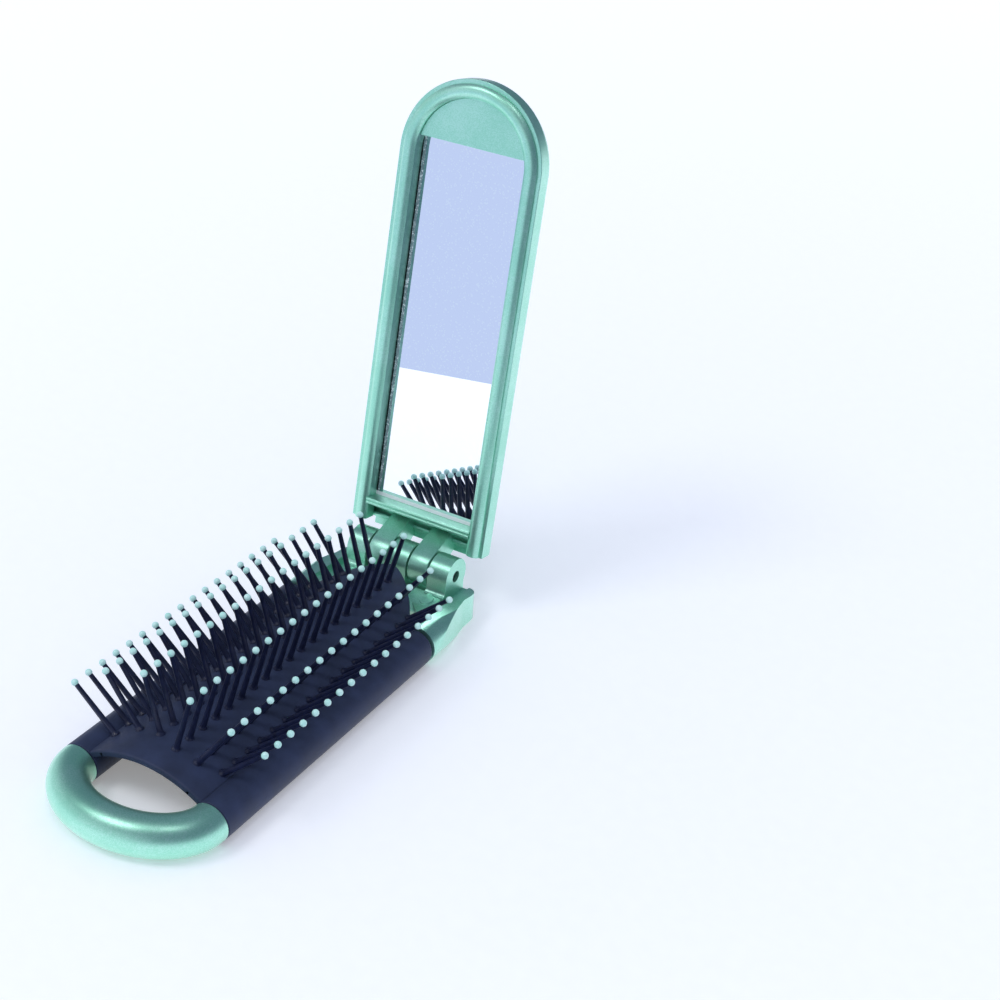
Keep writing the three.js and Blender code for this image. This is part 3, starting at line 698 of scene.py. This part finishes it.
def lid_inset(co, inset):
    """Where a point of the lid's outline goes when the outline is drawn in."""
    half = LID_HALF - inset
    if co.y < LID_ROUND_Y - 1e-4:
        out = Vector((co.x, co.y - LID_ROUND_Y)).normalized() * half
        return out.x, LID_ROUND_Y + out.y
    x = math.copysign(half, co.x)
    return x, (LID_BACK_Y - inset if co.y > LID_ROUND_Y + 1 else co.y)


def build_lid_shell():
    """The lid's cover: a tray with round shoulders, open towards the mirror and at its hinge end."""
    bm = bmesh.new()
    start = bm.verts.new((LID_HALF, LID_ROUND_Y, LID_PARTING_Z))
    spun = bmesh.ops.spin(
        bm, geom=[start], cent=(0, LID_ROUND_Y, 0), axis=(0, 0, 1), angle=-math.pi, steps=56
    )["geom_last"]
    left = only(spun, bmesh.types.BMVert)[0]
    right_back = bm.verts.new((LID_HALF, LID_BACK_Y, LID_PARTING_Z))
    left_back = bm.verts.new((-LID_HALF, LID_BACK_Y, LID_PARTING_Z))
    for pair in ((start, right_back), (right_back, left_back), (left_back, left)):
        bm.edges.new(pair)
    edges = list(bm.edges)
    shoulder_z = LID_TOP_Z - LID_SHOULDER
    levels = [(0.0, shoulder_z)]
    levels += [
        (LID_SHOULDER * (1 - math.cos(a)), shoulder_z + LID_SHOULDER * math.sin(a))
        for a in (math.radians(11.25 * i) for i in range(1, 9))
    ]
    for inset, z in levels:
        edges = extrude_edges(bm, edges)
        for v in verts_of(edges):
            x, y = lid_inset(v.co, inset)
            v.co = Vector((x, y, z))
    cap(bm, edges)
    open_end = [
        f for f in bm.faces
        if all(abs(v.co.y - LID_BACK_Y) < 1e-4 for v in f.verts) and f.calc_center_median().z < shoulder_z
    ]
    bmesh.ops.delete(bm, geom=open_end, context="FACES")
    return finish(
        "lid_cover", bm, [PEARL], "lid", ["lid_shell"], OPEN_LID, sharp=40, bevel=0.5, thick=LID_WALL
    )


def lid_knuckle(bm, x0):
    """A round bar along X with softened rims, one knuckle wide."""
    place = Matrix.Translation((x0 + KNUCKLE_WIDTH / 2, 0, HINGE_Z)) @ Matrix.Rotation(math.pi / 2, 4, "Y")
    made = bmesh.ops.create_cone(
        bm, cap_ends=True, segments=48, radius1=KNUCKLE_R, radius2=KNUCKLE_R, depth=KNUCKLE_WIDTH,
        matrix=place,
    )["verts"]
    ends = set(made)
    rims = [
        e for e in bm.edges
        if e.verts[0] in ends and e.verts[1] in ends and abs(e.verts[0].co.x - e.verts[1].co.x) < 1e-6
    ]
    bmesh.ops.bevel(
        bm, geom=rims, offset=0.25, segments=3, profile=0.5, affect="EDGES", material=-1,
        offset_type="OFFSET",
    )


def build_lid_arms():
    """The two lid knuckles on their plates, and the lip of the lid's floor that reaches over the barrel."""
    bm = bmesh.new()
    floor_z = LID_TOP_Z - LID_WALL
    for index in (1, 3):
        x0 = knuckle_start(index)
        lid_knuckle(bm, x0)
        # The plate runs off the barrel at a tangent and reaches the lid's floor behind the bar
        leave = Vector((-math.cos(ARM_SLOPE), -math.sin(ARM_SLOPE))) * (KNUCKLE_R - 0.02)
        reach = leave.x - (floor_z - HINGE_Z - leave.y) * math.tan(ARM_SLOPE)
        plate = [(reach, floor_z + 0.4), (reach, floor_z), (leave.x, HINGE_Z + leave.y)]
        plate += [(0, HINGE_Z), (0, HINGE_Z + KNUCKLE_R - 0.1), (TONGUE_Y - 0.5, floor_z + 0.4)]
        plate_x(bm, plate, x0, x0 + KNUCKLE_WIDTH)
    lip_front = LID_BACK_Y - 1.9
    lip = [(lip_front, floor_z), (TONGUE_Y, floor_z), (TONGUE_Y, LID_TOP_Z), (lip_front, LID_TOP_Z)]
    plate_x(bm, lip, -TONGUE_HALF, TONGUE_HALF)
    return finish("lid_arms", bm, [PEARL], "lid", (), OPEN_LID, sharp=32, bevel=0.15)


def build_mirror():
    """The mirror's silvering. The glass lies in front of it and is too clear to be seen."""
    bm = bmesh.new()
    tucked = 0.6
    half = WINDOW_HALF + tucked
    top = MIRROR_TOP_Y - tucked
    bottom = BAR_FRONT_Y + tucked
    bmesh.ops.create_cube(bm, size=1.0)
    bmesh.ops.scale(bm, vec=(2 * half, bottom - top, SILVER_THICK), verts=bm.verts)
    shift(bm, bm.verts, y=(top + bottom) / 2, z=SILVER_Z + SILVER_THICK / 2)
    return finish("mirror_pane", bm, [MIRROR], "lid", ["mirror_glass"], OPEN_LID, bevel=0.1)


def dress_hidden_nodes():
    """The pin and the tape keep their solids and get their own finishes."""
    for node, material in (("hinge_pin", STEEL), ("mirror_tape", FOAM)):
        for slot in frame["nodes"][node].material_slots:
            slot.material = material


build_loop()
build_pad()
build_block()
build_mirror_frame()
build_lid_shell()
build_lid_arms()
build_mirror()
dress_hidden_nodes()


# Table, light and camera

def build_table():
    """A white sheet that reaches far behind the brush, with one corner in front of it."""
    material, tree, shader, place = new_material("paper_white_matte")
    fibre = add_node(tree, "ShaderNodeTexNoise", Vector=place, Scale=1 / 3.0, Detail=3.0).outputs["Fac"]
    whites = [(0.3, "f0f4fb"), (0.7, "f3f7fd")]
    colour = add_node(tree, "ShaderNodeValToRGB", stops=whites, Fac=fibre).outputs["Color"]
    tree.links.new(colour, shader.inputs["Base Color"])
    shader.inputs["Roughness"].default_value = 0.85
    # The sheet looks evenly white in the picture, and brighter in reflections, far from the lamps too
    rays = add_node(tree, "ShaderNodeLightPath").outputs
    seen = add_node(
        tree, "ShaderNodeMath", {"operation": "MAXIMUM"}, i0=rays["Is Camera Ray"], i1=rays["Is Glossy Ray"]
    ).outputs[0]
    away = add_node(
        tree, "ShaderNodeVectorMath", {"operation": "DISTANCE"}, i0=place, i1=(0, -50, 0)
    ).outputs["Value"]
    lift = add_node(
        tree, "ShaderNodeMapRange", Value=away, From_Min=80, From_Max=700, To_Min=0.24, To_Max=0.47
    ).outputs["Result"]
    base = add_node(tree, "ShaderNodeMath", {"operation": "MULTIPLY"}, i0=seen, i1=lift).outputs[0]
    glow = add_node(
        tree, "ShaderNodeMath", {"operation": "MULTIPLY_ADD"}, i0=rays["Is Glossy Ray"], i1=0.17, i2=base
    ).outputs[0]
    tree.links.new(glow, shader.inputs["Emission Strength"])
    shader.inputs["Emission Color"].default_value = srgb("fffbf4")
    bm = bmesh.new()
    bmesh.ops.create_grid(bm, x_segments=1, y_segments=1, size=2.0)
    corner = Matrix.Translation((-0.07, -0.36, 0)) @ Matrix.Rotation(math.radians(-44), 4, "Z")
    bmesh.ops.transform(bm, matrix=corner @ Matrix.Translation((-2.0, 2.0, 0)), verts=bm.verts)
    mesh = bpy.data.meshes.new("table")
    bm.to_mesh(mesh)
    bm.free()
    mesh.materials.append(material)
    table = bpy.data.objects.new("table", mesh)
    bpy.context.scene.collection.objects.link(table)


def area_light(name, place, size, power):
    """A rectangular lamp that faces the middle of the brush."""
    light = bpy.data.lights.new(name, "AREA")
    light.shape = "RECTANGLE"
    light.size, light.size_y = size
    light.energy = power
    light.color = srgb("fffefc")[:3]
    lamp = bpy.data.objects.new(name, light)
    lamp.location = place
    lamp.rotation_euler = (Vector((0, -0.05, 0.03)) - Vector(place)).to_track_quat("-Z", "Y").to_euler()
    bpy.context.scene.collection.objects.link(lamp)


ROOM = "566178"
CARD = "dde4ee"
LAVENDER = "cbd9f9"
AMBIENT = "c6cde0"


def build_world():
    """A dim room with a large white card in front on the left and a lavender floor beyond the table.
    Matt surfaces get an even, faintly blue light."""
    world = bpy.data.worlds.new("room")
    bpy.context.scene.world = world
    world.use_nodes = True
    tree = world.node_tree
    direction = add_node(tree, "ShaderNodeTexCoord").outputs["Generated"]
    height = add_node(tree, "ShaderNodeSeparateXYZ", Vector=direction).outputs["Z"]
    leftwards = add_node(
        tree, "ShaderNodeVectorMath", {"operation": "DOT_PRODUCT"}, i0=direction, i1=(-0.8, -0.6, 0)
    ).outputs["Value"]
    side = add_node(
        tree, "ShaderNodeMapRange", Value=leftwards, From_Min=0.2, From_Max=0.65
    ).outputs["Result"]
    low = add_node(tree, "ShaderNodeMapRange", Value=height, From_Min=0.65, From_Max=0.35).outputs["Result"]
    card = add_node(tree, "ShaderNodeMath", {"operation": "MULTIPLY"}, i0=side, i1=low).outputs[0]
    above = add_node(
        tree, "ShaderNodeMapRange", Value=height, From_Min=-0.04, From_Max=0.04
    ).outputs["Result"]
    pale = add_node(
        tree, "ShaderNodeMix", {"data_type": "RGBA"}, i0=above, i6=srgb(LAVENDER), i7=srgb(CARD)
    ).outputs[2]
    room = add_node(tree, "ShaderNodeMix", {"data_type": "RGBA"}, i0=card, i6=srgb(ROOM), i7=pale).outputs[2]
    rays = add_node(tree, "ShaderNodeLightPath").outputs
    colour = add_node(
        tree, "ShaderNodeMix", {"data_type": "RGBA"}, i0=rays["Is Glossy Ray"], i6=srgb(AMBIENT), i7=room
    ).outputs[2]
    tree.links.new(colour, tree.nodes["Background"].inputs["Color"])
    tree.nodes["Background"].inputs["Strength"].default_value = 1.0


# Long lens, 30 degrees down, a slight roll: matched to the brush in the photograph
CAMERA_PLACE = (191.05, -313.45, 235.56)
CAMERA_TURN = (-28.29, 29.68, 3.91)
CAMERA_LENS = 70.61


def build_camera():
    """A camera at CAMERA_PLACE in millimetres, turned by yaw, pitch and roll in degrees."""
    yaw, pitch, roll = (math.radians(a) for a in CAMERA_TURN)
    forward = Vector((math.sin(yaw) * math.cos(pitch), math.cos(yaw) * math.cos(pitch), -math.sin(pitch)))
    right = Vector((math.cos(yaw), -math.sin(yaw), 0))
    up = right.cross(forward)
    rolled_right = right * math.cos(roll) + up * math.sin(roll)
    rolled_up = up * math.cos(roll) - right * math.sin(roll)
    data = bpy.data.cameras.new("camera")
    data.sensor_width = 36
    data.lens = CAMERA_LENS
    data.clip_end = 20
    camera = bpy.data.objects.new("camera", data)
    turn = Matrix((rolled_right, rolled_up, -forward)).transposed().to_4x4()
    camera.matrix_world = Matrix.Translation(Vector(CAMERA_PLACE) * MM) @ turn
    bpy.context.scene.collection.objects.link(camera)
    bpy.context.scene.camera = camera


build_table()
area_light("softbox", (-0.36, -0.5, 0.9), (0.36, 0.29), 2.05)
area_light("overhead", (0.22, -0.3, 1.0), (0.2, 0.2), 0.75)
build_world()
build_camera()
bpy.context.scene.view_settings.view_transform = "Standard"
